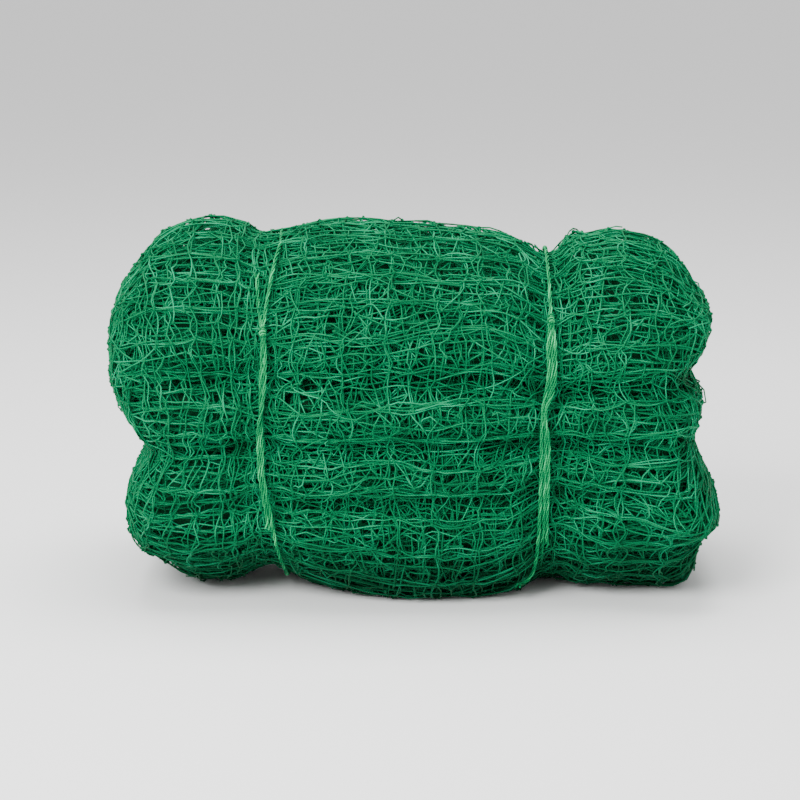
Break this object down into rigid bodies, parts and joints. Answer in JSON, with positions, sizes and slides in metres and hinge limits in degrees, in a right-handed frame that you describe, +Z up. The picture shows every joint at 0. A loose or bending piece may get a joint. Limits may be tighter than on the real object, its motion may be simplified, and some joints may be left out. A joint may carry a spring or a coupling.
{
  "type": "cargo climbing net",
  "caption": "Knotted green climbing net folded into a rounded bundle for storage, pulled in by twine ties with knots and loose tails.",
  "frame": {"origin": "on the floor under the middle of the bundle", "axes": "+X along the bundle, +Z up, and the side with the knots faces -Y"},
  "size_m": [0.64, 0.3824, 0.3841],
  "materials": {
    "netting": "matt dark green polyethylene twine, knotted into square mesh",
    "tie_twine": "satin pale green laid polyethylene twine"
  },
  "bodies": {
    "root": {"net_pass_top": "netting", "net_pass_upper": "netting", "net_pass_lower": "netting", "net_pass_bottom": "netting", "net_turn_left_upper": "netting", "net_turn_left_lower": "netting", "net_turn_right": "netting", "tie_left": "tie_twine", "tie_left_knot": "tie_twine", "tie_left_long_tail": "tie_twine", "tie_left_short_tail": "tie_twine", "tie_right": "tie_twine", "tie_right_knot": "tie_twine", "tie_right_long_tail": "tie_twine", "tie_right_short_tail": "tie_twine"}
  },
  "joints": []
}
